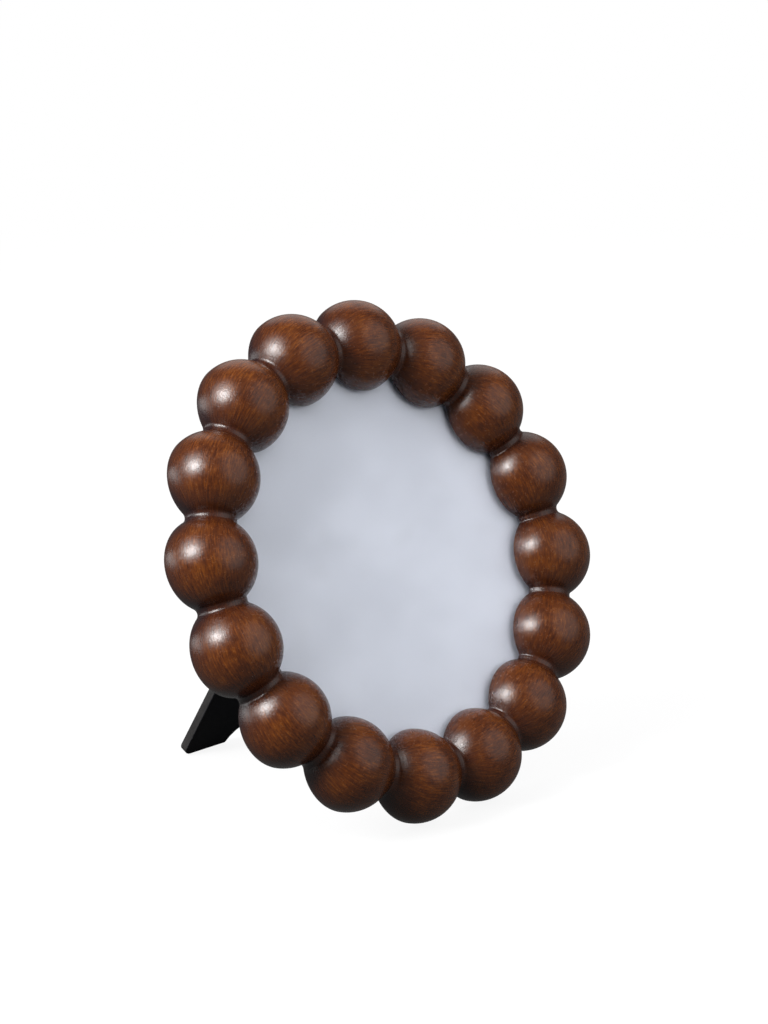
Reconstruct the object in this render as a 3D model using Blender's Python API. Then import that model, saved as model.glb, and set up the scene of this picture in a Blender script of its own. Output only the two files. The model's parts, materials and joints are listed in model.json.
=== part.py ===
# Round table frame: a ring of beads joined at their collars, with glass, a card
# and a riveted easel back behind it. It stands on two beads and on its strut.
# World: metres, +Z up, the front faces -Y, and the origin is on the table.
# Frame axes: X to the right, Y back through the frame and Z up its slope.

import math

import bmesh
import bpy
from mathutils import Matrix, Vector

# Driving dimensions
FIT_GAP = 0.0003  # between pieces that rest on each other

BEAD_COUNT = 16
PITCH_RADIUS = 0.0660  # circle through the bead centres
BEAD_RADIUS = 0.0143
NECK_RADIUS = 0.0081  # collar between two beads
NECK_FILLET = 0.0012  # hollow where a collar meets a bead
BACK_DEPTH = 0.0036  # flat back, behind the bead centres
LEDGE_DEPTH = 0.0010  # ledge that the glass rests on, in front of the centres
GLASS_LAP = 0.0034  # how far the rebate runs behind a collar's inner side

GLASS_THICKNESS = 0.0015
CARD_THICKNESS = 0.0003
PANEL_THICKNESS = 0.0025

FRAME_LEAN = math.radians(24.3)  # back from upright
STRUT_SLOPE = math.radians(25.2)  # back from upright, when it is open

HINGE_HEIGHT = 0.0297  # pin above the middle of the frame, up its slope
HINGE_WIDTH = 0.0180
LEAF_THICKNESS = 0.0009
LEAF_LENGTH = 0.0180  # from the pin to a leaf's far end
PIN_RADIUS = 0.0010
PIN_PLAY = 0.0001  # around the pin inside the knuckles
PIN_HEAD_RADIUS = 0.0016
PIN_HEAD_LENGTH = 0.0006
PIN_HEAD_CHAMFER = 0.0003
SHOULDER_START = 0.0005  # from the pin to the shoulder that the stop tabs meet
KNUCKLE_WIDTH = 0.0054  # the strut leaf's single knuckle
SIDE_KNUCKLE_WIDTH = 0.0026  # each of the panel leaf's two knuckles

STRUT_THICKNESS = 0.0028
STRUT_TOP_WIDTH = 0.0210
STRUT_FOOT_WIDTH = 0.0570
STRUT_TOP_CORNER = 0.0020
STRUT_FOOT_CORNER = 0.0025
ARCH_WIDTH = 0.0220  # arch cut in the foot
ARCH_HEIGHT = 0.0070

RIVET_RADIUS = 0.0013
RIVET_HEAD_RADIUS = 0.0027
RIVET_HEAD_HEIGHT = 0.0012
RIVET_CLINCH_RADIUS = 0.0023
RIVET_CLINCH_HEIGHT = 0.0006
PANEL_RIVET_SPACING = 0.0094
PANEL_RIVET_HEIGHT = 0.0110  # above the pin
STRUT_RIVET_DROP = 0.0070  # first rivet below the pin
STRUT_RIVET_SPACING = 0.0070

BUTTON_WIDTH = 0.0080
BUTTON_THICKNESS = 0.0008
BUTTON_REACH = 0.0145  # from its screw to the tip over the panel
BUTTON_PAD = 0.0052  # flat length from its screw to the joggle
BUTTON_JOGGLE = 0.0023
BUTTON_INSET = 0.0075  # from the rebate's wall out to the screw
BUTTON_BEADS = (2, 5)  # beads that carry a screw, counted up each side from the foot
SCREW_RADIUS = 0.0012
SCREW_LENGTH = 0.0080  # below the button
SCREW_POINT_RADIUS = 0.0004
SCREW_POINT_LENGTH = 0.0024
SCREW_HEAD_RADIUS = 0.0027
SCREW_HEAD_HEIGHT = 0.0015

# Mesh steps
BEAD_STEPS = 4  # along a bead, from its middle to the fillet
FILLET_STEPS = 2
SECTION_STEPS = 16  # round the front of the ring's section
ROUND_SIDES = 16
ROLL_STEPS = 14
DISC_SIDES = 96
DOME_STEPS = 3
DOME_SWEEP = math.radians(80)  # a dome or round end stops just short of its middle
END_STEPS = 4  # half of a turn button's round end
FOOT_CORNER_STEPS = 5
TOP_CORNER_STEPS = 4
ARCH_STEPS = 10

# Worked out from the values above
BEAD_ANGLE = 2 * math.pi / BEAD_COUNT
HALF_PITCH = PITCH_RADIUS * math.sin(BEAD_ANGLE / 2)
BEAD_END = HALF_PITCH - FIT_GAP / 2  # where a bead's collar meets the next bead's
NECK_CENTRE = PITCH_RADIUS * math.cos(BEAD_ANGLE / 2)
REBATE_RADIUS = NECK_CENTRE - NECK_RADIUS + GLASS_LAP
DISC_RADIUS = REBATE_RADIUS - FIT_GAP

GLASS_FRONT = FIT_GAP - LEDGE_DEPTH
CARD_FRONT = GLASS_FRONT + GLASS_THICKNESS + FIT_GAP
PANEL_FRONT = CARD_FRONT + CARD_THICKNESS + FIT_GAP
PANEL_REAR = PANEL_FRONT + PANEL_THICKNESS

KNUCKLE_BORE = PIN_RADIUS + PIN_PLAY
KNUCKLE_RADIUS = KNUCKLE_BORE + LEAF_THICKNESS
# A knuckle is rolled until its end comes near its own leaf.
ROLL_ANGLE = 2 * math.pi - math.acos((KNUCKLE_BORE - FIT_GAP) / KNUCKLE_RADIUS)
PIN_LENGTH = KNUCKLE_WIDTH + 2 * (SIDE_KNUCKLE_WIDTH + 2 * FIT_GAP)
STRUT_REAR = KNUCKLE_BORE - FIT_GAP  # behind the pin, with the strut folded
# The folded strut and the knuckles both clear the panel.
PIN_DEPTH = PANEL_REAR + FIT_GAP + max(KNUCKLE_RADIUS, STRUT_THICKNESS - STRUT_REAR)
STRUT_FRONT = STRUT_REAR - STRUT_THICKNESS
STRUT_TOP = KNUCKLE_RADIUS + 2 * FIT_GAP  # below the pin

# Two beads straddle the foot, and each stands on the rim of its flat back.
RIM_RADIUS = math.sqrt(BEAD_RADIUS**2 - BACK_DEPTH**2)
CENTRE_HEIGHT = (NECK_CENTRE + RIM_RADIUS) * math.cos(FRAME_LEAN) + BACK_DEPTH * math.sin(FRAME_LEAN)
OPENING = FRAME_LEAN + STRUT_SLOPE
PIN_HEIGHT = CENTRE_HEIGHT + HINGE_HEIGHT * math.cos(FRAME_LEAN) - PIN_DEPTH * math.sin(FRAME_LEAN)
# The sole's front edge reaches the table when the strut is open.
STRUT_LENGTH = (PIN_HEIGHT + STRUT_FRONT * math.sin(STRUT_SLOPE)) / math.cos(STRUT_SLOPE)
# The open strut's stop tabs meet the panel leaf.
TAB_LENGTH = (KNUCKLE_BORE * (1 + math.cos(OPENING)) - FIT_GAP) / math.sin(OPENING)

FRONT_REACH = NECK_CENTRE * math.sin(FRAME_LEAN) + BEAD_RADIUS
REAR_REACH = (
    PIN_DEPTH * math.cos(FRAME_LEAN)
    + HINGE_HEIGHT * math.sin(FRAME_LEAN)
    + STRUT_REAR * math.cos(STRUT_SLOPE)
    + STRUT_LENGTH * math.sin(STRUT_SLOPE)
)

BUTTON_CIRCLE = REBATE_RADIUS + BUTTON_INSET
BUTTON_FRONT = BACK_DEPTH + FIT_GAP
BUTTON_RISE = PANEL_REAR - BACK_DEPTH


def clear_scene():
    for item in list(bpy.data.objects):
        bpy.data.objects.remove(item, do_unlink=True)


def material(name, colour, roughness, metallic=0.0):
    result = bpy.data.materials.new(name)
    result.use_nodes = True
    shader = result.node_tree.nodes["Principled BSDF"]
    shader.inputs["Base Color"].default_value = (*colour, 1.0)
    shader.inputs["Roughness"].default_value = roughness
    shader.inputs["Metallic"].default_value = metallic
    return result


def empty(name, parent=None, location=(0, 0, 0), tilt=0.0):
    result = bpy.data.objects.new(name, None)
    bpy.context.collection.objects.link(result)
    result.parent = parent
    result.location = location
    result.rotation_euler = (tilt, 0, 0)
    return result


def solid(name, bm, look, parent, location=(0, 0, 0), rotation=(0, 0, 0)):
    """Put a bmesh into the scene as one named piece."""
    bmesh.ops.recalc_face_normals(bm, faces=bm.faces)
    mesh = bpy.data.meshes.new(name)
    bm.to_mesh(mesh)
    bm.free()
    mesh.shade_smooth()
    mesh.set_sharp_from_angle(angle=math.radians(35))
    mesh.materials.append(look)
    result = bpy.data.objects.new(name, mesh)
    bpy.context.collection.objects.link(result)
    result.parent = parent
    result.location = location
    result.rotation_euler = rotation
    return result


def cut(target, bm):
    """Cut the closed shapes in a bmesh out of a piece, in its own axes."""
    bmesh.ops.recalc_face_normals(bm, faces=bm.faces)
    mesh = bpy.data.meshes.new(target.name + "_cutter")
    bm.to_mesh(mesh)
    bm.free()
    cutter = bpy.data.objects.new(mesh.name, mesh)
    bpy.context.collection.objects.link(cutter)
    cutter.parent = target.parent
    cutter.location = target.location
    cutter.rotation_euler = target.rotation_euler
    cutter.hide_render = True
    cutter.display_type = "WIRE"
    boolean = target.modifiers.new("cut", "BOOLEAN")
    boolean.operation = "DIFFERENCE"
    boolean.object = cutter


def loft(bm, loops, closed=False):
    """Join point loops of equal length with quads, and cap the ends unless closed."""
    rings = [[bm.verts.new(point) for point in loop] for loop in loops]
    pairs = list(zip(rings, rings[1:]))
    if closed:
        pairs.append((rings[-1], rings[0]))
    else:
        bm.faces.new(rings[0])
        bm.faces.new(list(reversed(rings[-1])))
    count = len(rings[0])
    for first, second in pairs:
        for i in range(count):
            j = (i + 1) % count
            bm.faces.new((first[i], second[i], second[j], first[j]))


def turn(bm, profile, sides=ROUND_SIDES, place=Matrix()):
    """Turn a profile of (radius, depth) points about the Y axis, and cap its ends."""
    loops = []
    for radius, depth in profile:
        angles = [2 * math.pi * k / sides for k in range(sides)]
        loops.append([place @ Vector((radius * math.cos(a), depth, radius * math.sin(a))) for a in angles])
    loft(bm, loops)


def extrude(bm, outline, front, rear):
    """Extrude a closed outline in X and Z from one depth to another."""
    loft(bm, [[(x, front, z) for x, z in outline], [(x, rear, z) for x, z in outline]])


def arc(centre, radius, start, end, steps):
    """Points on an arc in X and Z, with its angles in radians from +X."""
    angles = [start + (end - start) * k / steps for k in range(steps + 1)]
    return [(centre[0] + radius * math.cos(a), centre[1] + radius * math.sin(a)) for a in angles]


def dome(radius, height, base):
    """Profile of a domed head that starts at its widest, at depth base."""
    angles = [DOME_SWEEP * k / DOME_STEPS for k in range(DOME_STEPS + 1)]
    return [(radius * math.cos(a), base + height * math.sin(a) / math.sin(DOME_SWEEP)) for a in angles]


# Ring of beads
def section_radius(along):
    """Radius of the ring's round section at a distance along it from a bead's middle."""
    along = abs(along)
    reach = BEAD_RADIUS + NECK_FILLET
    fillet_end = math.sqrt(reach**2 - (NECK_RADIUS + NECK_FILLET) ** 2)
    if along <= fillet_end * BEAD_RADIUS / reach:
        return math.sqrt(BEAD_RADIUS**2 - along**2)
    if along < fillet_end:
        return NECK_RADIUS + NECK_FILLET - math.sqrt(NECK_FILLET**2 - (fillet_end - along) ** 2)
    return NECK_RADIUS


def section_places():
    """Distances from a bead's middle to the sections that shape half of it."""
    reach = BEAD_RADIUS + NECK_FILLET
    turned = math.acos((NECK_RADIUS + NECK_FILLET) / reach)
    fillet_end = reach * math.sin(turned)
    places = [BEAD_RADIUS * math.sin(turned * k / BEAD_STEPS) for k in range(BEAD_STEPS + 1)]
    for k in range(FILLET_STEPS - 1, -1, -1):
        places.append(fillet_end - NECK_FILLET * math.sin(turned * k / FILLET_STEPS))
    return [place for place in places if place < BEAD_END - FIT_GAP / 2] + [BEAD_END]


def ring_section(along, bead_middle):
    """One section of the ring: round in front, flat behind, with the rebate's step."""
    turned = math.asin(along / PITCH_RADIUS)
    centre = PITCH_RADIUS * math.cos(turned)
    radius = section_radius(along)
    start = -math.asin(BACK_DEPTH / radius)
    end = math.pi - math.asin(LEDGE_DEPTH / radius)
    angles = [start + (end - start) * k / SECTION_STEPS for k in range(SECTION_STEPS + 1)]
    profile = [(centre + radius * math.cos(a), -radius * math.sin(a)) for a in angles]
    profile += [(REBATE_RADIUS, -LEDGE_DEPTH), (REBATE_RADIUS, BACK_DEPTH)]
    place = bead_middle + turned
    return [(out * math.sin(place), depth, -out * math.cos(place)) for out, depth in profile]


def button_places():
    """Place of each turn button's screw, as an angle round the ring from the foot."""
    angles = [(bead + 0.5) * BEAD_ANGLE for bead in BUTTON_BEADS]
    return angles + [-a for a in angles]


def on_ring(angle, depth):
    """Point on the circle of the screws, in the frame's axes."""
    return (BUTTON_CIRCLE * math.sin(angle), depth, -BUTTON_CIRCLE * math.cos(angle))


def beads(frame, look):
    """The ring's beads, each with its half of the collar on both sides.

    They are pieces of their own, so that none of them bends round the opening.
    """
    half = section_places()
    places = [-place for place in half[:0:-1]] + half
    for number in range(BEAD_COUNT):
        middle = (number + 0.5) * BEAD_ANGLE
        bm = bmesh.new()
        loft(bm, [ring_section(place, middle) for place in places])
        bead = solid("bead_%d" % (number + 1), bm, look, frame)
        for angle in button_places():
            if math.cos(angle - middle) > math.cos(BEAD_ANGLE / 2):
                cut(bead, screw_hole(angle))


def screw_hole(angle):
    hole = bmesh.new()
    x, _, z = on_ring(angle, 0)
    radius = SCREW_RADIUS + FIT_GAP
    profile = [(radius, BACK_DEPTH - SCREW_LENGTH), (radius, BACK_DEPTH + FIT_GAP)]
    turn(hole, profile, place=Matrix.Translation((x, 0, z)))
    return hole


# What the rebate holds
def disc(name, front, thickness, frame, look):
    bm = bmesh.new()
    turn(bm, [(DISC_RADIUS, front), (DISC_RADIUS, front + thickness)], sides=DISC_SIDES)
    return solid(name, bm, look, frame)


def rivet_bore(bm, x, z, front, rear):
    """Cutter for a rivet's hole, with room in front for its clinched end."""
    hole = RIVET_RADIUS + FIT_GAP
    sink = RIVET_CLINCH_RADIUS + FIT_GAP
    seat = front + RIVET_CLINCH_HEIGHT + 2 * FIT_GAP
    profile = [(sink, front - FIT_GAP), (sink, seat), (hole, seat), (hole, rear + FIT_GAP)]
    turn(bm, profile, place=Matrix.Translation((x, 0, z)))


def rivet(name, place, front, rear, look, parent):
    """Rivet that holds a leaf on a board: the front is the board's, the rear is the leaf's."""
    clinch = front + FIT_GAP
    profile = [
        (RIVET_CLINCH_RADIUS, clinch),
        (RIVET_CLINCH_RADIUS, clinch + RIVET_CLINCH_HEIGHT),
        (RIVET_RADIUS, clinch + RIVET_CLINCH_HEIGHT),
        (RIVET_RADIUS, rear + FIT_GAP),
    ]
    bm = bmesh.new()
    turn(bm, profile + dome(RIVET_HEAD_RADIUS, RIVET_HEAD_HEIGHT, rear + FIT_GAP))
    solid(name, bm, look, parent, (place[0], 0, place[1]))


def panel_rivet_places():
    height = HINGE_HEIGHT + PANEL_RIVET_HEIGHT
    return [(-PANEL_RIVET_SPACING / 2, height), (PANEL_RIVET_SPACING / 2, height)]


def strut_rivet_places():
    return [(0, -STRUT_RIVET_DROP), (0, -STRUT_RIVET_DROP - STRUT_RIVET_SPACING)]


def back_panel(frame, look):
    panel = disc("back_panel", PANEL_FRONT, PANEL_THICKNESS, frame, look)
    bores = bmesh.new()
    for x, z in panel_rivet_places():
        rivet_bore(bores, x, z, PANEL_FRONT, PANEL_REAR)
    cut(panel, bores)


# Turn buttons and their screws
def button_loops():
    """Sections across a turn button from its round heel to its round tip, which points along +X."""
    half = BUTTON_WIDTH / 2
    turns = [DOME_SWEEP * k / END_STEPS for k in range(END_STEPS + 1)]
    heel = [(-half * math.sin(a), half * math.cos(a), 0.0) for a in reversed(turns)]
    bends = [(BUTTON_PAD, half, 0.0), (BUTTON_PAD + BUTTON_JOGGLE, half, BUTTON_RISE)]
    shoulder = BUTTON_REACH - half
    tip = [(shoulder + half * math.sin(a), half * math.cos(a), BUTTON_RISE) for a in turns]
    loops = []
    for along, side, rise in heel + bends + tip:
        low, high = rise, rise + BUTTON_THICKNESS
        loops.append([(along, low, -side), (along, low, side), (along, high, side), (along, high, -side)])
    return loops


def turn_buttons(frame, look):
    for number, angle in enumerate(button_places(), 1):
        bm = bmesh.new()
        loft(bm, button_loops())
        # Its own X axis points at the middle of the frame.
        aim = (0, 1.5 * math.pi - angle, 0)
        button = solid("turn_button_%d" % number, bm, look, frame, on_ring(angle, BUTTON_FRONT), aim)
        hole = bmesh.new()
        radius = SCREW_RADIUS + FIT_GAP
        turn(hole, [(radius, -FIT_GAP), (radius, BUTTON_THICKNESS + FIT_GAP)])
        cut(button, hole)


def button_screws(frame, look):
    seat = BUTTON_THICKNESS + FIT_GAP
    for number, angle in enumerate(button_places(), 1):
        bm = bmesh.new()
        profile = [
            (SCREW_POINT_RADIUS, -SCREW_LENGTH),
            (SCREW_RADIUS, SCREW_POINT_LENGTH - SCREW_LENGTH),
            (SCREW_RADIUS, seat),
        ]
        turn(bm, profile + dome(SCREW_HEAD_RADIUS, SCREW_HEAD_HEIGHT, seat))
        solid("button_screw_%d" % number, bm, look, frame, on_ring(angle, BUTTON_FRONT))


# Easel hinge, seen with the strut folded: Y and Z are counted from the pin
def rolled_point(x, along, outside):
    """Point of a leaf that runs down from the pin, or, past 0, rolls round it by an angle."""
    radius = KNUCKLE_RADIUS if outside else KNUCKLE_BORE
    if along <= 0:
        return (x, radius, along)
    return (x, radius * math.cos(along), radius * math.sin(along))


def tab_point(x, along, outside):
    """Point of a stop tab, which runs straight past the pin."""
    return (x, KNUCKLE_RADIUS if outside else KNUCKLE_BORE, along)


def leaf_mesh(knuckles, tabs):
    """A leaf of sheet metal: a plate with rolled knuckles and straight tabs at its top.

    A knuckle is (low x, high x), and a tab is (low x, high x, end).
    """
    half = HINGE_WIDTH / 2
    clear = -(KNUCKLE_RADIUS + FIT_GAP)
    columns = sorted({-half, half} | {x for span in knuckles + tabs for x in span[:2]})
    roll = [ROLL_ANGLE * k / ROLL_STEPS for k in range(ROLL_STEPS + 1)]
    cells = [(left, right, -LEAF_LENGTH, clear, rolled_point) for left, right in zip(columns, columns[1:])]
    for low, high in knuckles:
        rows = [clear] + roll
        cells += [(low, high, bottom, top, rolled_point) for bottom, top in zip(rows, rows[1:])]
    cells += [(low, high, clear, end, tab_point) for low, high, end in tabs]
    bm = bmesh.new()
    verts = {}
    sides = {}
    for left, right, bottom, top, place in cells:
        ring = [(left, bottom), (right, bottom), (right, top), (left, top)]
        corners = []
        for outside in (False, True):
            keys = [(round(x, 7), round(along, 7), outside) for x, along in ring]
            for key, (x, along) in zip(keys, ring):
                if key not in verts:
                    verts[key] = bm.verts.new(place(x, along, outside))
            corners.append([verts[key] for key in keys])
        bm.faces.new(corners[1])
        bm.faces.new(list(reversed(corners[0])))
        for i in range(4):
            j = (i + 1) % 4
            edge = frozenset((corners[0][i], corners[0][j]))
            if edge in sides:
                del sides[edge]
            else:
                sides[edge] = (corners[0][i], corners[0][j], corners[1][j], corners[1][i])
    for wall in sides.values():
        bm.faces.new(wall)
    return bm


def leaf_holes(places):
    bm = bmesh.new()
    radius = RIVET_RADIUS + FIT_GAP
    for x, z in places:
        profile = [(radius, KNUCKLE_BORE - FIT_GAP), (radius, KNUCKLE_RADIUS + FIT_GAP)]
        turn(bm, profile, place=Matrix.Translation((x, 0, z)))
    return bm


def easel_hinge(frame, strut, look):
    middle = KNUCKLE_WIDTH / 2
    inner = middle + FIT_GAP
    outer = inner + SIDE_KNUCKLE_WIDTH
    half = HINGE_WIDTH / 2
    # Tabs and shoulders stand clear of the pin's heads.
    tab = PIN_LENGTH / 2 + PIN_HEAD_LENGTH + FIT_GAP
    # The panel leaf is made like the strut leaf and turned half round the pin.
    pin = (0, PIN_DEPTH, HINGE_HEIGHT)
    shoulders = [(-half, -tab, -SHOULDER_START), (tab, half, -SHOULDER_START)]
    bm = leaf_mesh([(-outer, -inner), (inner, outer)], shoulders)
    panel_leaf = solid("hinge_panel_leaf", bm, look, frame, pin, (math.pi, 0, 0))
    cut(panel_leaf, leaf_holes([(x, HINGE_HEIGHT - z) for x, z in panel_rivet_places()]))
    stops = [(-half, -tab, TAB_LENGTH), (tab, half, TAB_LENGTH)]
    bm = leaf_mesh([(-middle, middle)], stops)
    strut_leaf = solid("hinge_strut_leaf", bm, look, strut)
    cut(strut_leaf, leaf_holes(strut_rivet_places()))


def hinge_pin(frame, look):
    bm = bmesh.new()
    end = PIN_LENGTH / 2
    head = end + PIN_HEAD_LENGTH
    profile = [
        (PIN_HEAD_RADIUS - PIN_HEAD_CHAMFER, -head),
        (PIN_HEAD_RADIUS, PIN_HEAD_CHAMFER - head),
        (PIN_HEAD_RADIUS, -end),
        (PIN_RADIUS, -end),
        (PIN_RADIUS, end),
        (PIN_HEAD_RADIUS, end),
        (PIN_HEAD_RADIUS, head - PIN_HEAD_CHAMFER),
        (PIN_HEAD_RADIUS - PIN_HEAD_CHAMFER, head),
    ]
    turn(bm, profile, place=Matrix.Rotation(math.pi / 2, 4, "Z"))
    solid("hinge_pin", bm, look, frame, (0, PIN_DEPTH, HINGE_HEIGHT))


def hinge_rivets(frame, strut, look):
    for number, place in enumerate(panel_rivet_places(), 1):
        rivet("panel_rivet_%d" % number, place, PANEL_FRONT, PIN_DEPTH - KNUCKLE_BORE, look, frame)
    for number, place in enumerate(strut_rivet_places(), 1):
        rivet("strut_rivet_%d" % number, place, STRUT_FRONT, KNUCKLE_RADIUS, look, strut)


# Strut board
def strut_outline():
    """Tapered board with round corners and an arch in its foot, in X and Z from the pin."""
    top, foot = -STRUT_TOP, -STRUT_LENGTH
    half_top, half_foot = STRUT_TOP_WIDTH / 2, STRUT_FOOT_WIDTH / 2
    slope = math.atan((half_foot - half_top) / (top - foot))
    # A corner's arc turns from the side's direction to the end's.
    foot_in = STRUT_FOOT_CORNER * math.tan((math.pi / 2 + slope) / 2)
    top_in = STRUT_TOP_CORNER * math.tan((math.pi / 2 - slope) / 2)
    foot_centre = (half_foot - foot_in, foot + STRUT_FOOT_CORNER)
    top_centre = (half_top - top_in, top - STRUT_TOP_CORNER)
    right = arc(foot_centre, STRUT_FOOT_CORNER, -math.pi / 2, slope, FOOT_CORNER_STEPS)
    right += arc(top_centre, STRUT_TOP_CORNER, slope, math.pi / 2, TOP_CORNER_STEPS)
    left = [(-x, z) for x, z in reversed(right)]
    span = ARCH_WIDTH / 2
    radius = (span**2 + ARCH_HEIGHT**2) / (2 * ARCH_HEIGHT)
    spread = math.asin(span / radius)
    centre = (0, foot + ARCH_HEIGHT - radius)
    return right + left + arc(centre, radius, math.pi / 2 + spread, math.pi / 2 - spread, ARCH_STEPS)


def strut_board(strut, look):
    bm = bmesh.new()
    extrude(bm, strut_outline(), STRUT_FRONT, STRUT_REAR)
    board = solid("strut_board", bm, look, strut)
    bores = bmesh.new()
    for x, z in strut_rivet_places():
        rivet_bore(bores, x, z, STRUT_FRONT, STRUT_REAR)
    cut(board, bores)


def build():
    clear_scene()
    brown = material("brown_lacquer", (0.122, 0.032, 0.008), 0.32)
    clear = material("glass", (0.80, 0.84, 0.90), 0.05)
    paper = material("grey_card", (0.60, 0.63, 0.70), 0.70)
    black = material("black_board", (0.008, 0.008, 0.010), 0.80)
    steel = material("black_steel", (0.030, 0.030, 0.032), 0.40, 1.0)
    nickel = material("nickel", (0.55, 0.53, 0.50), 0.30, 1.0)

    place = (0, (FRONT_REACH - REAR_REACH) / 2, CENTRE_HEIGHT)
    frame = empty("frame_axes", location=place, tilt=-FRAME_LEAN)
    strut = empty("strut_axes", frame, (0, PIN_DEPTH, HINGE_HEIGHT), OPENING)
    beads(frame, brown)
    disc("glass", GLASS_FRONT, GLASS_THICKNESS, frame, clear)
    disc("photo_card", CARD_FRONT, CARD_THICKNESS, frame, paper)
    back_panel(frame, black)
    turn_buttons(frame, nickel)
    button_screws(frame, nickel)
    easel_hinge(frame, strut, steel)
    hinge_pin(frame, steel)
    hinge_rivets(frame, strut, nickel)
    strut_board(strut, black)


build()
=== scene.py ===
# Looks for the round table frame: lacquered bead ring, glass over a grey card,
# black board back and strut, and the metal that holds them. Sizes in metres.

import json
import math

import bmesh
import bpy
from mathutils import Matrix, Vector

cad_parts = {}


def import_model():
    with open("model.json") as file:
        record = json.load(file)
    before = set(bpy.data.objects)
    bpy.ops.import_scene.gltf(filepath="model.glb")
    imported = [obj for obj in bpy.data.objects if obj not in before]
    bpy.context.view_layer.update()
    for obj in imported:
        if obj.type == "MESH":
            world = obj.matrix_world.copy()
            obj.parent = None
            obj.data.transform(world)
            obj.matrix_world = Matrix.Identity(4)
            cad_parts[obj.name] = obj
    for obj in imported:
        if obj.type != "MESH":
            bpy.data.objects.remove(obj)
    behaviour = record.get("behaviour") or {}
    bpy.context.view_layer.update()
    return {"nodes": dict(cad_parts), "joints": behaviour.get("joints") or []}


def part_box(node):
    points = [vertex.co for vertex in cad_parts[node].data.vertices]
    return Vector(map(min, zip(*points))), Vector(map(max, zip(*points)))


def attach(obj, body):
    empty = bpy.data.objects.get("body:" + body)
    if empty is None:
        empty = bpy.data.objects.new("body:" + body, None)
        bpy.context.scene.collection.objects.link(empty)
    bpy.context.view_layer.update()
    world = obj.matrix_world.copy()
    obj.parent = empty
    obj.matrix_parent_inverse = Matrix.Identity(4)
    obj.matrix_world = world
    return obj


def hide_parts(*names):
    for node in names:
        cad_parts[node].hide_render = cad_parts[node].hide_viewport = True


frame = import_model()

# Camera, as the photograph was taken
AZIMUTH = math.radians(-43.61)
ELEVATION = math.radians(16.99)
DISTANCE = 1.0455  # from the ring's centre
DROP = 0.0143  # ring's centre below the camera's axis
LENS = 121.8  # millimetres on the sensor's long side
SENSOR = 36.0

# Floor and world
AMBIENT = 0.02  # world's light on the object
MIRRORED = 0.10  # how white the floor and the world are in a reflection
FLOOR_LIT = (0.05, 0.05, 0.05)  # floor as it throws light back
FLOOR_SEEN = (0.80, 0.80, 0.81)
FLOOR_GLOW = (0.90, 1.00)  # share of the floor that is plain white: by the frame, far away
FLOOR_FADE = (0.12, 0.80)  # distances from the middle for the two
FLOOR_RADIUS = 8.0
FLOOR_SIDES = 64

# Lamps: degrees round and above the camera's axis, distance, degrees across,
# radiance, and whether a reflection shows them
LAMPS = {
    "key": (-50, 31, 1.3, 46, 4.4, True),
    "key_middle": (-45, 27, 1.3, 18, 38.0, True),
    "high_fill": (-38, 44, 1.3, 40, 0.8, False),
    "front_fill": (8, 54, 1.3, 66, 1.20, False),
    "near_fill": (42, 10, 0.35, 56, 1.00, False),
    "left": (-100, -6, 1.3, 44, 3.2, True),
    "right": (62, 24, 1.3, 68, 0.72, True),
    "behind": (180, 50, 1.3, 50, 0.6, True),
    "behind_fill": (165, 38, 1.3, 70, 2.6, False),
}

# Ring
BEAD_COUNT = 16
PITCH_RADIUS = 0.0660
BEAD_RADIUS = 0.0142  # the solids' facets lie this far inside a 14.3 mm sphere
NECK_RADIUS = 0.0081
GROOVE_RADIUS = 0.0077  # of the lacquered collar, a little inside the solid's
GROOVE_FILLET = 0.0012
BACK_DEPTH = 0.0036
LEDGE_DEPTH = 0.0010  # ledge that the glass rests on, in front of the bead centres
GLASS_LAP = 0.0034  # how far the rebate runs behind a collar's inner side
EDGE_ROUND = 0.0003
BEAD_STEPS = 16  # along half a bead
FILLET_STEPS = 8
SECTION_STEPS = 60  # round the front of a section

RING_CREASE = 40  # degrees between faces, past which a ring's edge isn't shaded smooth

# Dark glaze on the ring, as shares of the full glaze; it is also painted shade in the collars
# and on the rims that turn to the back. A spread says where it starts, how far on it is full,
# and the power that it grows by.
COLLAR_GLAZE_AND_SHADE = 0.62
COLLAR_SPREAD = (0.36, 0.60, 1.5)  # over the way from a bead's middle to a collar's
RIM_GLAZE_AND_SHADE = 0.90
RIM_SPREAD = (-0.55, 0.9, 1.2)  # over the sine of the direction faced, counted to the back
BACK_GLAZE = 0.35  # share of the rim's glaze on the flat back
BACK_FACING = 0.9  # the same sine, past which a face is on the flat back

# Glass and card, in depths from the bead centres
DISC_RADIUS = 0.0597
DISC_SIDES = 144
DISC_MIDDLE = 0.3  # share of the radius that is one flat face
DISC_MARGIN = 0.001  # last ring, beside the chamfer
GLASS_DEPTHS = (-0.0007, 0.0008)
CARD_DEPTHS = (0.0011, 0.0014)
GLASS_CHAMFER = 0.0003
CARD_CHAMFER = 0.00006

# Boards, leaves and turn buttons: how much of a sharp edge is rounded
BOARD_ROUND = 0.0004
LEAF_ROUND = 0.00015
BUTTON_ROUND = 0.00018
SAME_PLACE = 1e-6  # vertices this close are one
FLAT_ANGLE = math.radians(1)  # faces that turn less than this are one flat
SHARP_ANGLE = math.radians(40)  # edges that turn more than this are rounded
SIDE_LEAN = 0.3  # cosine to the board's normal, below which a face is on its side
SOFT_CREASE = 60  # degrees, as RING_CREASE, so that a rounded edge is shaded smooth
ROUND_CREASE = 35  # degrees, for screws, rivets and the pin

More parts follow.
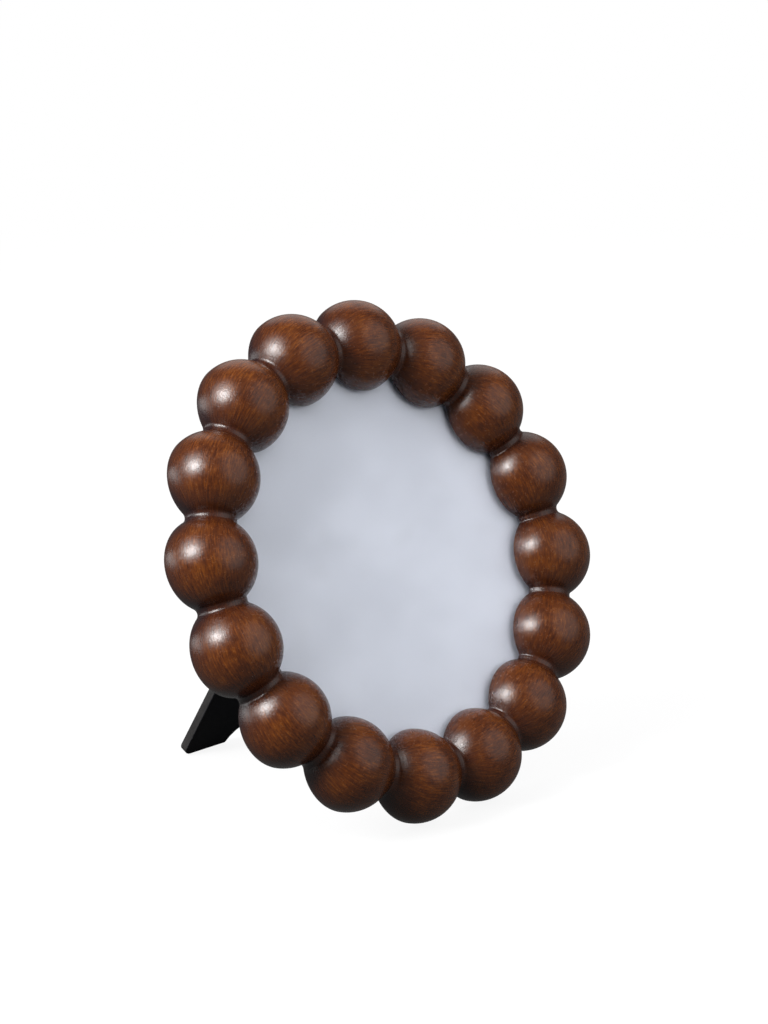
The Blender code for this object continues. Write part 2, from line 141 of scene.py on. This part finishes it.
# Screws, rivets and pin
ROUND_SIDES = 40
DOME_STEPS = 8
DOME_SWEEP = math.radians(86)  # a dome stops just short of its middle
SCREW_CIRCLE = 0.06753  # through the turn buttons' screws
SCREW_BEADS = (2, 5)  # beads that carry a screw, counted up each side from the foot
SCREW_SEAT = 0.0050  # depth of the head's underside
SCREW_HEAD = (0.0027, 0.0015)  # radius and height
SCREW_SLOT = (0.0007, 0.0007)  # width and depth
SCREW_ROOT = 0.00088
SCREW_CREST = 0.0012
SCREW_PITCH = 0.0010
SCREW_POINT = 0.0004
SCREW_END = -0.0041  # depth of the point
SCREW_TAPER = 0.0024
THREAD_ROWS = 5  # for each turn of the thread
THREAD_SIDES = 16
THREAD_RISE = 3  # how steeply a thread's sides rise, in heights for each pitch
PIN_RADIUS = 0.0010
PIN_HALF = 0.0059  # from its middle to a head
PIN_HEAD = (0.0016, 0.0006, 0.0003)  # radius, length and chamfer
RIVET_RADIUS = 0.0013
RIVET_HEAD = (0.0027, 0.0012)  # radius and height
RIVET_CLINCH = (0.0023, 0.0006)
CLINCH_CHAMFER = (0.86, 0.4)  # shares of the radius and height where it starts
PANEL_RIVETS = ((-0.0047, 0.0407), (0.0047, 0.0407))  # across and up the frame
PANEL_RIVET_DEPTHS = (0.0020, 0.0057)  # clinched end and head
STRUT_RIVETS = ((0.0, -0.0070), (0.0, -0.0140))  # across and up the strut, from the pin
STRUT_RIVET_DEPTHS = (-0.0017, 0.0023)

# Colours. A pair is the plain colour and the one it varies to. The metals go on with
# their roughness and how fine their drawn lines are along each axis.
LACQUER = [
    (0.39, (0.038, 0.0080, 0.0019)),
    (0.50, (0.099, 0.0236, 0.0031)),
    (0.61, (0.195, 0.0550, 0.0060)),
]
LACQUER_STREAK = (0.028, 0.0070, 0.0028)
# colour of the dark glaze, which also paints the shade in the collars and on the rims
LACQUER_GLAZE_AND_SHADE = (0.0105, 0.0036, 0.0050)
LACQUER_ROUGHNESS = (0.21, 0.29)
GLASS_TINT = (0.995, 0.998, 1.0, 1)
GLASS_MIRROR = (0.9, 0.95, 1.0, 1)
GLASS_HEAD_ON = 0.05  # share that it mirrors head on
GLASS_ROUGHNESS = (0.30, 0.38)
CARD = ((0.775, 0.798, 0.890), (0.830, 0.854, 0.948))
# painted shade, which darkens the card towards its left
CARD_PAINTED_SHADE = (0.535, 0.556, 0.627)
CARD_SMUDGE = (0.50, 0.51, 0.55)
CARD_FIBRE = (0.40, 0.41, 0.45)
BOARD = ((0.010, 0.010, 0.013), (0.026, 0.026, 0.029))
# bare board at the sides, lighter than the faces partly as painted light that the sides catch
BOARD_SIDE_BARE_AND_LIT = ((0.014, 0.013, 0.013), (0.046, 0.043, 0.042))
BLACK_STEEL = ((0.060, 0.060, 0.064), (0.110, 0.105, 0.100), 0.38, (200, 4000, 4000))
NICKEL = ((0.55, 0.53, 0.50), (0.40, 0.37, 0.33), 0.25, (400, 3000, 3000))

# Worked out from the values above
BEAD_ANGLE = 2 * math.pi / BEAD_COUNT
HALF_PITCH = PITCH_RADIUS * math.sin(BEAD_ANGLE / 2)
NECK_CENTRE = PITCH_RADIUS * math.cos(BEAD_ANGLE / 2)
REBATE_RADIUS = NECK_CENTRE - NECK_RADIUS + GLASS_LAP
FILLET_REACH = BEAD_RADIUS + GROOVE_FILLET
FILLET_TURN = math.acos((GROOVE_RADIUS + GROOVE_FILLET) / FILLET_REACH)
FILLET_END = FILLET_REACH * math.sin(FILLET_TURN)  # along the ring from a bead's middle

# Frame axes: Y back through the frame, Z up its slope, from the ring's centre
JOINTS = {joint["name"]: joint for joint in frame["joints"]}
BACKWARD = Vector(JOINTS["button_turn_1"]["axis"])
LEAN = math.atan2(-BACKWARD.z, BACKWARD.y)
GLASS_LOW, GLASS_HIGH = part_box("glass")
GLASS_MIDDLE = 0.00005  # glass's middle behind the bead centres
CENTRE = (GLASS_LOW + GLASS_HIGH) / 2 - BACKWARD * GLASS_MIDDLE
AXES = Matrix.Translation(CENTRE) @ Matrix.Rotation(-LEAN, 4, "X")

# The open strut's axes, from the hinge pin
STRUT_SLOPE = math.radians(25.2)
PIN = Vector(JOINTS["strut_fold"]["pos_m"])
STRUT_AXES = Matrix.Translation(PIN) @ Matrix.Rotation(STRUT_SLOPE, 4, "X")


# Shader helpers
def new_material(name):
    material = bpy.data.materials.new(name)
    material.use_nodes = True
    tree = material.node_tree
    return material, tree, tree.nodes["Principled BSDF"]


def node(tree, kind, inputs=None, **settings):
    """Add a node, set its properties, and fill or link its inputs."""
    result = tree.nodes.new("ShaderNode" + kind)
    for name, value in settings.items():
        setattr(result, name, value)
    for name, value in (inputs or {}).items():
        if isinstance(value, bpy.types.NodeSocket):
            tree.links.new(value, result.inputs[name])
        else:
            result.inputs[name].default_value = value
    return result


def attribute(tree, name):
    return node(tree, "Attribute", attribute_name=name)


def here_on(tree):
    """Place on the object, in metres."""
    return node(tree, "TexCoord").outputs["Object"]


def stretch(tree, vector, by):
    return node(tree, "VectorMath", {0: vector, 1: by}, operation="MULTIPLY").outputs[0]


def noise(tree, vector, scale, detail, roughness):
    inputs = {"Vector": vector, "Scale": scale, "Detail": detail, "Roughness": roughness}
    return node(tree, "TexNoise", inputs).outputs["Fac"]


def span(tree, value, low, high, new_low=0.0, new_high=1.0, kind="LINEAR"):
    """Map a value from one range to another, and keep it inside the new one."""
    inputs = {"Value": value, "From Min": low, "From Max": high}
    inputs |= {"To Min": new_low, "To Max": new_high}
    return node(tree, "MapRange", inputs, interpolation_type=kind).outputs[0]


def maths(tree, operation, first, second):
    return node(tree, "Math", {0: first, 1: second}, operation=operation).outputs[0]


def mix(tree, factor, first, second):
    """Mix two colours, each given as numbers or as a socket."""
    result = node(tree, "Mix", {"Factor": factor}, data_type="RGBA")
    for slot, value in ((6, first), (7, second)):
        if isinstance(value, bpy.types.NodeSocket):
            tree.links.new(value, result.inputs[slot])
        else:
            result.inputs[slot].default_value = (*value, 1.0)
    return result.outputs[2]


def ramp(tree, value, stops):
    result = node(tree, "ValToRGB", {"Fac": value})
    elements = result.color_ramp.elements
    while len(elements) < len(stops):
        elements.new(0.5)
    for element, (position, colour) in zip(elements, stops):
        element.position = position
        element.color = (*colour, 1.0)
    return result.outputs["Color"]


def bump(tree, height, distance, strength, normal=None):
    inputs = {"Height": height, "Distance": distance, "Strength": strength}
    if normal is not None:
        inputs["Normal"] = normal
    return node(tree, "Bump", inputs).outputs["Normal"]


# Materials
def lacquer():
    """Amber-brown lacquer with fine streaks along the ring, and a dark glaze in the collars and
    on the rims that is also painted shade.
    """
    material, tree, shader = new_material("brown_lacquer")
    grain = attribute(tree, "grain").outputs["Vector"]
    glaze_and_shade = attribute(tree, "glaze_and_shade").outputs["Fac"]
    here = here_on(tree)
    streak = noise(tree, stretch(tree, grain, (36, 36, 22)), 1.0, 4.0, 0.65)
    hair = noise(tree, stretch(tree, grain, (70, 70, 30)), 1.0, 2.0, 0.6)
    cloud = noise(tree, here, 120.0, 3.0, 0.55)
    mottle = noise(tree, here, 800.0, 3.0, 0.6)

    tone = maths(tree, "MULTIPLY", streak, 0.50)
    tone = maths(tree, "ADD", tone, maths(tree, "MULTIPLY", cloud, 0.28))
    tone = maths(tree, "ADD", tone, maths(tree, "MULTIPLY", mottle, 0.22))
    colour = ramp(tree, tone, LACQUER)
    colour = mix(tree, span(tree, hair, 0.36, 0.64, 0.0, 0.60), colour, LACQUER_STREAK)
    # Dark glaze, also painted shade in the collars and on the rims, varied at random by mottle
    # and clouds
    stain = maths(tree, "ADD", glaze_and_shade, span(tree, mottle, 0.3, 0.7, -0.14, 0.14))
    stain = maths(tree, "ADD", stain, span(tree, cloud, 0.3, 0.7, -0.12, 0.12))
    colour = mix(tree, span(tree, stain, 0.02, 0.95, 0.0, 0.94), colour, LACQUER_GLAZE_AND_SHADE)
    tree.links.new(colour, shader.inputs["Base Color"])
    tree.links.new(span(tree, mottle, 0.3, 0.7, *LACQUER_ROUGHNESS), shader.inputs["Roughness"])
    shader.inputs["Specular IOR Level"].default_value = 0.5
    peel = noise(tree, here, 2400.0, 2.0, 0.6)
    normal = bump(tree, hair, 0.00006, 0.6)
    tree.links.new(bump(tree, peel, 0.00005, 0.8, normal), shader.inputs["Normal"])
    return material


def glass():
    """Thin non-glare glass: it lets light straight through and mirrors a little, softly."""
    material, tree, shader = new_material("glass")
    tree.nodes.remove(shader)
    clear = node(tree, "BsdfTransparent", {"Color": GLASS_TINT})
    smudge = noise(tree, here_on(tree), 60.0, 3.0, 0.6)
    roughness = span(tree, smudge, 0.4, 0.7, *GLASS_ROUGHNESS)
    mirror = node(tree, "BsdfGlossy", {"Color": GLASS_MIRROR, "Roughness": roughness})
    # Not a Fresnel node: that one mirrors everything from inside, past the critical angle.
    facing = node(tree, "LayerWeight", {"Blend": 0.5}).outputs["Facing"]
    mirrored = span(tree, maths(tree, "POWER", facing, 5.0), 0.0, 1.0, GLASS_HEAD_ON, 1.0)
    blend = node(tree, "MixShader", {0: mirrored, 1: clear.outputs[0], 2: mirror.outputs[0]})
    output = tree.nodes["Material Output"]
    tree.links.new(blend.outputs[0], output.inputs["Surface"])
    return material


def card():
    """Plain cool grey card with faint clouds, smudges and fibres, and painted shade that darkens
    it to the left.
    """
    material, tree, shader = new_material("grey_card")
    here = here_on(tree)
    cloud = noise(tree, stretch(tree, here, (1.0, 1.0, 1.7)), 26.0, 2.0, 0.5)
    smudge = noise(tree, here, 75.0, 2.0, 0.5)
    fibre = noise(tree, here, 2500.0, 2.0, 0.6)
    colour = mix(tree, span(tree, cloud, 0.36, 0.62), *CARD)
    # Painted shade: the card darkens smoothly towards its left, with a wavering edge
    across = node(tree, "SeparateXYZ", {0: here}).outputs["X"]
    across = maths(tree, "ADD", across, span(tree, cloud, 0.3, 0.7, -0.02, 0.02))
    shade = span(tree, across, -0.075, 0.060, 0.62, 0.0, "SMOOTHSTEP")
    colour = mix(tree, shade, colour, CARD_PAINTED_SHADE)
    colour = mix(tree, span(tree, smudge, 0.62, 0.72, 0.0, 0.10), colour, CARD_SMUDGE)
    colour = mix(tree, span(tree, fibre, 0.4, 0.7, 0.0, 0.04), colour, CARD_FIBRE)
    tree.links.new(colour, shader.inputs["Base Color"])
    shader.inputs["Roughness"].default_value = 0.75
    tree.links.new(bump(tree, fibre, 0.00001, 0.4), shader.inputs["Normal"])
    return material


def board(name, colour, worn):
    """Black paper over fibreboard, faintly mottled."""
    material, tree, shader = new_material(name)
    here = here_on(tree)
    cloud = noise(tree, here, 90.0, 3.0, 0.6)
    fibre = noise(tree, here, 1800.0, 3.0, 0.7)
    shade = mix(tree, span(tree, cloud, 0.3, 0.7, 0.0, 0.5), colour, worn)
    shade = mix(tree, span(tree, fibre, 0.45, 0.8, 0.0, 0.35), shade, worn)
    tree.links.new(shade, shader.inputs["Base Color"])
    tree.links.new(span(tree, fibre, 0.3, 0.7, 0.70, 0.90), shader.inputs["Roughness"])
    shader.inputs["Specular IOR Level"].default_value = 0.25
    tree.links.new(bump(tree, fibre, 0.00005, 0.6), shader.inputs["Normal"])
    return material


def metal(name, colour, worn, roughness, grain_stretch):
    """Sheet or turned metal with fine drawn lines and faint stains."""
    material, tree, shader = new_material(name)
    here = here_on(tree)
    lines = noise(tree, stretch(tree, here, grain_stretch), 1.0, 2.0, 0.6)
    stain = noise(tree, here, 400.0, 3.0, 0.6)
    shade = mix(tree, span(tree, stain, 0.45, 0.70), colour, worn)
    tree.links.new(shade, shader.inputs["Base Color"])
    roughness = span(tree, stain, 0.3, 0.7, roughness, roughness + 0.15)
    tree.links.new(roughness, shader.inputs["Roughness"])
    shader.inputs["Metallic"].default_value = 1.0
    tree.links.new(bump(tree, lines, 0.00001, 0.5), shader.inputs["Normal"])
    return material


# Meshes
def piece(name, bm, material, body, replaced, crease=ROUND_CREASE, axes=AXES):
    """Make a piece from a mesh in the given axes, and hide the CAD nodes it stands for."""
    bmesh.ops.recalc_face_normals(bm, faces=bm.faces)
    mesh = bpy.data.meshes.new(name)
    bm.to_mesh(mesh)
    bm.free()
    mesh.transform(axes)
    mesh.shade_smooth()
    mesh.set_sharp_from_angle(angle=math.radians(crease))
    mesh.materials.append(material)
    result = bpy.data.objects.new(name, mesh)
    bpy.context.scene.collection.objects.link(result)
    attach(result, body)
    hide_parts(*replaced)
    return result


def skin(bm, rings):
    """Join each ring of vertices to the next with a row of quads."""
    for first, second in zip(rings, rings[1:]):
        for i in range(len(first)):
            j = (i + 1) % len(first)
            bm.faces.new((first[i], second[i], second[j], first[j]))


def close_ends(bm, rings):
    bm.faces.new(rings[0])
    bm.faces.new(rings[-1])


def section_radius(along):
    """Radius of the ring's round section at a distance along it from a bead's middle."""
    along = abs(along)
    if along <= FILLET_END * BEAD_RADIUS / FILLET_REACH:
        return math.sqrt(BEAD_RADIUS**2 - along**2)
    if along < FILLET_END:
        hollow = math.sqrt(GROOVE_FILLET**2 - (FILLET_END - along) ** 2)
        return GROOVE_RADIUS + GROOVE_FILLET - hollow
    return GROOVE_RADIUS


def section_places():
    """Distances from a bead's middle to the sections that shape half of it: its sphere,
    its fillet and its collar's middle."""
    angles = [FILLET_TURN * k / BEAD_STEPS for k in range(BEAD_STEPS + 1)]
    places = [BEAD_RADIUS * math.sin(angle) for angle in angles]
    for k in range(FILLET_STEPS - 1, -1, -1):
        places.append(FILLET_END - GROOVE_FILLET * math.sin(FILLET_TURN * k / FILLET_STEPS))
    return places + [HALF_PITCH]


def ring_section(along, bead_middle):
    """One section's points: place, direction faced round it, angle round the ring, and
    share of the way from the bead's middle to the collar's."""
    offset = math.asin(along / PITCH_RADIUS)
    centre = PITCH_RADIUS * math.cos(offset)
    radius = section_radius(along)
    tight = EDGE_ROUND / radius
    start = tight - math.asin(BACK_DEPTH / radius)
    end = math.pi - math.asin(LEDGE_DEPTH / radius) - tight
    angles = [start + (end - start) * k / SECTION_STEPS for k in range(SECTION_STEPS + 1)]
    profile = [(centre + radius * math.cos(a), -radius * math.sin(a), a) for a in angles]
    outer = centre + math.sqrt(radius**2 - BACK_DEPTH**2)
    inner = centre - math.sqrt(radius**2 - LEDGE_DEPTH**2)
    profile += [
        (inner + EDGE_ROUND, -LEDGE_DEPTH, end),
        (REBATE_RADIUS, -LEDGE_DEPTH, math.pi),
        (REBATE_RADIUS, BACK_DEPTH - EDGE_ROUND, math.pi),
        (REBATE_RADIUS + EDGE_ROUND, BACK_DEPTH, -math.pi / 2),
        (outer - EDGE_ROUND, BACK_DEPTH, start),
    ]
    ring_angle = bead_middle + offset
    points = []
    for out, depth, facing in profile:
        point = (out * math.sin(ring_angle), depth, -out * math.cos(ring_angle))
        points.append((point, facing, ring_angle, abs(along) / HALF_PITCH))
    return points


def spread(value, start, length, power):
    return max(0.0, min(1.0, (value - start) / length)) ** power


def glaze_and_shade_at(facing, share):
    """How much dark glaze and painted shade lies here: most at the collars and rims, little on
    the flat back.
    """
    backward = -math.sin(facing)
    collar = spread(share, *COLLAR_SPREAD)
    rim = BACK_GLAZE if backward > BACK_FACING else spread(backward, *RIM_SPREAD)
    return min(1.0, COLLAR_GLAZE_AND_SHADE * collar + RIM_GLAZE_AND_SHADE * rim)


def bead_ring(material):
    """The whole ring in one skin, with what its lacquer needs at each vertex."""
    half = section_places()
    places = [-along for along in half[-2:0:-1]] + half
    middles = [(bead + 0.5) * BEAD_ANGLE for bead in range(BEAD_COUNT)]
    sections = [ring_section(along, middle) for middle in middles for along in places]
    bm = bmesh.new()
    rings = [[bm.verts.new(point) for point, _, _, _ in section] for section in sections]
    skin(bm, rings + rings[:1])
    beads = [name for name in frame["nodes"] if name.startswith("bead_")]
    ring = piece("lacquered_bead_ring", bm, material, "frame", beads, RING_CREASE)
    # At each vertex: the grain's directions, and the dark glaze that also paints the shade in the
    # collars and on the rims
    grain, glaze_and_shade = [], []
    for section in sections:
        for _, facing, ring_angle, share in section:
            grain += [math.cos(facing), math.sin(facing), ring_angle]
            glaze_and_shade.append(glaze_and_shade_at(facing, share))
    ring.data.attributes.new("grain", "FLOAT_VECTOR", "POINT").data.foreach_set("vector", grain)
    ring.data.attributes.new("glaze_and_shade", "FLOAT", "POINT").data.foreach_set("value", glaze_and_shade)


def softened(name, source, material, body, width, side=None):
    """A CAD node's shape with its flats joined and its sharp edges rounded. The strut
    has a second material at its sides."""
    bm = bmesh.new()
    bm.from_mesh(frame["nodes"][source].data)
    bmesh.ops.remove_doubles(bm, verts=bm.verts, dist=SAME_PLACE)
    bmesh.ops.dissolve_limit(bm, angle_limit=FLAT_ANGLE, verts=bm.verts, edges=bm.edges)
    sharp = [edge for edge in bm.edges if edge.calc_face_angle(0) > SHARP_ANGLE]
    rounding = {"offset_type": "OFFSET", "affect": "EDGES", "profile": 0.5, "clamp_overlap": True}
    bmesh.ops.bevel(bm, geom=sharp, offset=width, segments=2, **rounding)
    result = piece(name, bm, material, body, [source], SOFT_CREASE, Matrix())
    result.modifiers.new("flat faces stay flat", "WEIGHTED_NORMAL").keep_sharp = True
    if side:
        result.data.materials.append(side)
        through = STRUT_AXES.to_3x3() @ Vector((0, 1, 0))
        for face in result.data.polygons:
            face.material_index = int(abs(face.normal.dot(through)) < SIDE_LEAN)


def turned(bm, profile, sides=ROUND_SIDES, axes=Matrix()):
    """Turn a profile of (radius, depth) points about the Y axis, and close its ends."""
    angles = [2 * math.pi * k / sides for k in range(sides)]
    rings = []
    for radius, depth in profile:
        points = [Vector((radius * math.cos(a), depth, radius * math.sin(a))) for a in angles]
        rings.append([bm.verts.new(axes @ point) for point in points])
    skin(bm, rings)
    close_ends(bm, rings)


def disc(name, source, material, depths, chamfer):
    """A round pane with chamfered edges, in rings so that its flats shade evenly."""
    bm = bmesh.new()
    front, back = depths
    radii = (DISC_RADIUS * DISC_MIDDLE, DISC_RADIUS - DISC_MARGIN, DISC_RADIUS - chamfer)
    half = [(radius, 0.0) for radius in radii] + [(DISC_RADIUS, chamfer)]
    profile = [(radius, front + depth) for radius, depth in half]
    profile += [(radius, back - depth) for radius, depth in reversed(half)]
    turned(bm, profile, sides=DISC_SIDES)
    piece(name, bm, material, "frame", [source], SOFT_CREASE)


def dome(radius, height, base):
    """Profile of a domed head that starts at its widest, at depth base."""
    angles = [DOME_SWEEP * k / DOME_STEPS for k in range(DOME_STEPS + 1)]
    return [(radius * math.cos(a), base + height * math.sin(a)) for a in angles]


def slotted_head(bm, x, z):
    """Round head with a slot across it, as strips that run along the slot."""
    radius, height = SCREW_HEAD
    half, depth = SCREW_SLOT[0] / 2, SCREW_SLOT[1]
    outer = [radius * math.sin(math.pi / 2 * k / DOME_STEPS) for k in range(1, DOME_STEPS + 1)]
    outer = [half] + [across for across in outer if across > half]
    strips = [(-across, False) for across in reversed(outer)] + [(-half, True), (half, True)]
    strips += [(across, False) for across in outer]
    rows = []
    for across, low in strips:
        reach = math.sqrt(max(radius**2 - across**2, 0))
        row = []
        for k in range(-DOME_STEPS, DOME_STEPS + 1):
            along = reach * math.sin(math.pi / 2 * k / DOME_STEPS)
            domed = height * math.sqrt(max(1 - (across**2 + along**2) / radius**2, 0))
            rise = height - depth if low else domed
            row.append(bm.verts.new((x + across, SCREW_SEAT + rise, z + along)))
        rows.append(row)
    for first, second in zip(rows, rows[1:]):
        for i in range(2 * DOME_STEPS):
            bm.faces.new((first[i], second[i], second[i + 1], first[i + 1]))
    edge = [row[0] for row in rows] + [row[-1] for row in reversed(rows)]
    under = [bm.verts.new((vert.co.x, SCREW_SEAT, vert.co.z)) for vert in edge]
    for i in range(len(edge)):
        j = (i + 1) % len(edge)
        bm.faces.new((edge[i], edge[j], under[j], under[i]))
    bm.faces.new(under)
    bmesh.ops.remove_doubles(bm, verts=bm.verts, dist=SAME_PLACE)
    bmesh.ops.dissolve_degenerate(bm, edges=bm.edges, dist=SAME_PLACE / 10)


def threaded_shank(bm, x, z):
    """Tapered shank whose thread winds round it as a ridge."""
    length = SCREW_SEAT - SCREW_END
    count = round(length / SCREW_PITCH * THREAD_ROWS)
    rings = []
    for row in range(count + 1):
        depth = SCREW_END + length * row / count
        taper = min(1.0, (depth - SCREW_END) / SCREW_TAPER)
        ring = []
        for side in range(THREAD_SIDES):
            angle = 2 * math.pi * side / THREAD_SIDES
            phase = ((depth - SCREW_END) / SCREW_PITCH - side / THREAD_SIDES) % 1.0
            ridge = max(0.0, 1 - THREAD_RISE * abs(phase - 0.5))
            full = SCREW_ROOT + (SCREW_CREST - SCREW_ROOT) * ridge
            radius = SCREW_POINT + (full - SCREW_POINT) * taper
            point = (x + radius * math.cos(angle), depth, z + radius * math.sin(angle))
            ring.append(bm.verts.new(point))
        rings.append(ring)
    skin(bm, rings)
    close_ends(bm, rings)


def screws(material):
    angles = [(bead + 0.5) * BEAD_ANGLE for bead in SCREW_BEADS]
    for number, angle in enumerate(angles + [-a for a in angles], 1):
        x, z = SCREW_CIRCLE * math.sin(angle), -SCREW_CIRCLE * math.cos(angle)
        bm = bmesh.new()
        slotted_head(bm, x, z)
        threaded_shank(bm, x, z)
        source = "button_screw_%d" % number
        piece("slotted_screw_%d" % number, bm, material, "frame", [source])


def rivets(material):
    """Rivets with a domed head on one side and a flat clinched end on the other."""
    radius, height = RIVET_CLINCH
    narrow, low = radius * CLINCH_CHAMFER[0], height * CLINCH_CHAMFER[1]
    for group, places, depths, axes, body in (
        ("panel", PANEL_RIVETS, PANEL_RIVET_DEPTHS, AXES, "frame"),
        ("strut", STRUT_RIVETS, STRUT_RIVET_DEPTHS, STRUT_AXES, "strut"),
    ):
        clinch, head = depths
        profile = [(narrow, clinch), (radius, clinch + low), (radius, clinch + height)]
        profile += [(RIVET_RADIUS, clinch + height), (RIVET_RADIUS, head)]
        profile += dome(*RIVET_HEAD, head)
        for number, (x, z) in enumerate(places, 1):
            bm = bmesh.new()
            turned(bm, profile, axes=Matrix.Translation((x, 0, z)))
            name = "%s_rivet_%d" % (group, number)
            piece("domed_" + name, bm, material, body, [name], axes=axes)


def pin(material):
    radius, length, chamfer = PIN_HEAD
    half = [(PIN_RADIUS, PIN_HALF), (radius, PIN_HALF), (radius, PIN_HALF + length - chamfer)]
    half.append((radius - chamfer, PIN_HALF + length))
    profile = [(r, -along) for r, along in reversed(half)] + half
    bm = bmesh.new()
    turned(bm, profile, axes=Matrix.Rotation(math.pi / 2, 4, "Z"))
    at_pin = Matrix.Translation(PIN)
    piece("turned_hinge_pin", bm, material, "frame", ["hinge_pin"], axes=at_pin)


# Stage
def seen_white(tree, path):
    """How white the floor and world look: 1 to the camera and through glass, and
    MIRRORED in a reflection."""
    mirrored = maths(tree, "MULTIPLY", path.outputs["Is Glossy Ray"], MIRRORED)
    seen = maths(tree, "MAXIMUM", path.outputs["Is Camera Ray"], mirrored)
    return maths(tree, "MAXIMUM", seen, path.outputs["Is Transmission Ray"])


def floor():
    """Pale floor, white to the camera, that keeps the shadow."""
    bm = bmesh.new()
    bmesh.ops.create_circle(bm, cap_ends=True, segments=FLOOR_SIDES, radius=FLOOR_RADIUS)
    mesh = bpy.data.meshes.new("floor")
    bm.to_mesh(mesh)
    bm.free()
    result = bpy.data.objects.new("floor", mesh)
    bpy.context.scene.collection.objects.link(result)
    material, tree, shader = new_material("floor")
    path = node(tree, "LightPath")
    colour = mix(tree, path.outputs["Is Camera Ray"], FLOOR_LIT, FLOOR_SEEN)
    tree.links.new(colour, shader.inputs["Base Color"])
    shader.inputs["Roughness"].default_value = 0.9
    shader.inputs["Specular IOR Level"].default_value = 0.0
    glow = node(tree, "Emission", {"Color": (1, 1, 1, 1), "Strength": 1.0})
    away = node(tree, "VectorMath", {0: here_on(tree)}, operation="LENGTH").outputs["Value"]
    white = seen_white(tree, path)
    share = maths(tree, "MULTIPLY", white, span(tree, away, *FLOOR_FADE, *FLOOR_GLOW))
    blend = node(tree, "MixShader", {0: share, 1: shader.outputs[0], 2: glow.outputs[0]})
    tree.links.new(blend.outputs[0], tree.nodes["Material Output"].inputs["Surface"])
    mesh.materials.append(material)


def view_axes():
    """The camera's right, up and back directions."""
    right = Vector((math.cos(AZIMUTH), math.sin(AZIMUTH), 0))
    level = math.cos(ELEVATION)
    back = Vector((math.sin(AZIMUTH) * level, -math.cos(AZIMUTH) * level, math.sin(ELEVATION)))
    return right, back.cross(right), back


def lamp(name, azimuth, elevation, distance, across, radiance, mirrored):
    """Round softbox that faces the ring's centre."""
    right, up, back = view_axes()
    a, e = math.radians(azimuth), math.radians(elevation)
    towards = right * math.sin(a) * math.cos(e) + up * math.sin(e)
    towards += back * math.cos(a) * math.cos(e)
    data = bpy.data.lights.new(name, "AREA")
    data.shape = "DISK"
    data.size = 2 * distance * math.tan(math.radians(across / 2))
    data.energy = radiance * (math.pi * data.size / 2) ** 2  # pi times the disc's area
    result = bpy.data.objects.new(name, data)
    result.location = CENTRE + towards * distance
    result.rotation_euler = towards.to_track_quat("Z", "Y").to_euler()
    result.visible_camera = False
    result.visible_glossy = mirrored
    bpy.context.scene.collection.objects.link(result)


def world():
    """White behind the object, and a dim even light on it."""
    result = bpy.data.worlds.new("studio")
    result.use_nodes = True
    tree = result.node_tree
    white = seen_white(tree, node(tree, "LightPath"))
    background = tree.nodes["Background"]
    colour = mix(tree, white, (AMBIENT, AMBIENT, AMBIENT), (1, 1, 1))
    tree.links.new(colour, background.inputs["Color"])
    background.inputs["Strength"].default_value = 1.0
    bpy.context.scene.world = result


def camera():
    right, up, back = view_axes()
    data = bpy.data.cameras.new("camera")
    data.lens = LENS
    data.sensor_width = SENSOR
    result = bpy.data.objects.new("camera", data)
    turn = Matrix((right, up, back)).transposed().to_4x4()
    result.matrix_world = Matrix.Translation(CENTRE + back * DISTANCE + up * DROP) @ turn
    bpy.context.scene.collection.objects.link(result)
    bpy.context.scene.camera = result


def main():
    bead_ring(lacquer())
    disc("ground_edge_glass", "glass", glass(), GLASS_DEPTHS, GLASS_CHAMFER)
    disc("plain_card", "photo_card", card(), CARD_DEPTHS, CARD_CHAMFER)
    cover = board("black_board", *BOARD)
    # The sides are bare board, and lighter partly as painted light that the sides catch
    side = board("bare_lit_board_edge", *BOARD_SIDE_BARE_AND_LIT)
    steel = metal("black_steel", *BLACK_STEEL)
    nickel = metal("nickel", *NICKEL)
    softened("covered_back_panel", "back_panel", cover, "frame", BOARD_ROUND)
    softened("covered_strut", "strut_board", cover, "strut", BOARD_ROUND, side)
    softened("panel_leaf", "hinge_panel_leaf", steel, "frame", LEAF_ROUND)
    softened("strut_leaf", "hinge_strut_leaf", steel, "strut", LEAF_ROUND)
    for number in range(1, 2 * len(SCREW_BEADS) + 1):
        name, body = "turn_button_%d" % number, "button_%d" % number
        softened("stamped_" + name, name, nickel, body, BUTTON_ROUND)
    screws(nickel)
    rivets(nickel)
    pin(steel)
    floor()
    world()
    for name, settings in LAMPS.items():
        lamp(name, *settings)
    camera()
    bpy.context.scene.view_settings.view_transform = "Standard"


main()
